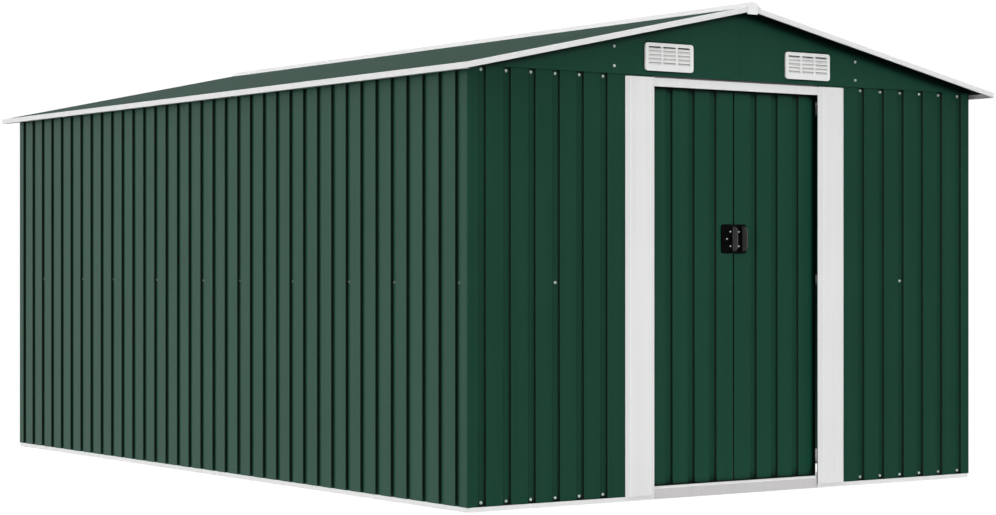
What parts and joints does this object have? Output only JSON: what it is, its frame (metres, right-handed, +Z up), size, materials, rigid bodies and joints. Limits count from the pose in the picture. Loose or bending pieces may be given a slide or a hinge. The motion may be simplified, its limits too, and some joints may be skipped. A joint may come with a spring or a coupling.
{
  "type": "metal storage shed",
  "caption": "Gable-roofed metal garden shed of ribbed green sheet with white trims, louvred gable vents and a pair of sliding doors on a top track.",
  "frame": {"origin": "middle of the overall box, on the ground", "axes": "+X to the right as seen from in front of the doors, +Y from the front to the back, +Z up"},
  "size_m": [2.557, 3.933, 1.8303],
  "materials": {
    "green_sheet": "satin dark green coil-coated steel sheet",
    "white_sheet": "satin white coil-coated steel sheet",
    "zinc_rail": "galvanised steel",
    "white_plastic": "white moulded plastic",
    "nylon": "natural nylon",
    "black_plastic": "black moulded plastic"
  },
  "bodies": {
    "shed": {"back_floor_rail": "white_sheet", "back_gable": "green_sheet", "back_mid_rail": "zinc_rail", "back_rake_trims": "white_sheet", "back_top_rail": "zinc_rail", "back_vents": "white_plastic", "back_wall": "green_sheet", "corner_posts": "green_sheet", "door_header": "white_sheet", "door_sill": "white_sheet", "door_track": "zinc_rail", "front_gable": "green_sheet", "front_mid_rails": "zinc_rail", "front_rake_trims": "white_sheet", "front_vents": "white_plastic", "left_eave_trim": "white_sheet", "left_floor_rail": "white_sheet", "left_front_floor_rail": "white_sheet", "left_front_wall": "green_sheet", "left_jamb": "white_sheet", "left_mid_rail": "zinc_rail", "left_purlin": "zinc_rail", "left_roof": "green_sheet", "left_top_rail": "zinc_rail", "left_wall": "green_sheet", "ridge_beam": "zinc_rail", "ridge_cap": "white_sheet", "ridge_end_caps": "white_plastic", "right_eave_trim": "white_sheet", "right_floor_rail": "white_sheet", "right_front_floor_rail": "white_sheet", "right_front_wall": "green_sheet", "right_jamb": "white_sheet", "right_mid_rail": "zinc_rail", "right_purlin": "zinc_rail", "right_roof": "green_sheet", "right_top_rail": "zinc_rail", "right_wall": "green_sheet"},
    "left_door": {"left_door_braces": "zinc_rail", "left_door_handle": "black_plastic", "left_door_leaf": "green_sheet", "left_door_runners": "nylon"},
    "right_door": {"right_door_braces": "zinc_rail", "right_door_handle": "black_plastic", "right_door_leaf": "green_sheet", "right_door_runners": "nylon"}
  },
  "joints": [
    {"name": "left_door_slide", "type": "slide", "parent": "shed", "child": "left_door", "axis": [-1, 0, 0], "range_m": [0, 0.33]},
    {"name": "right_door_slide", "type": "slide", "parent": "shed", "child": "right_door", "axis": [1, 0, 0], "range_m": [0, 0.33]}
  ]
}
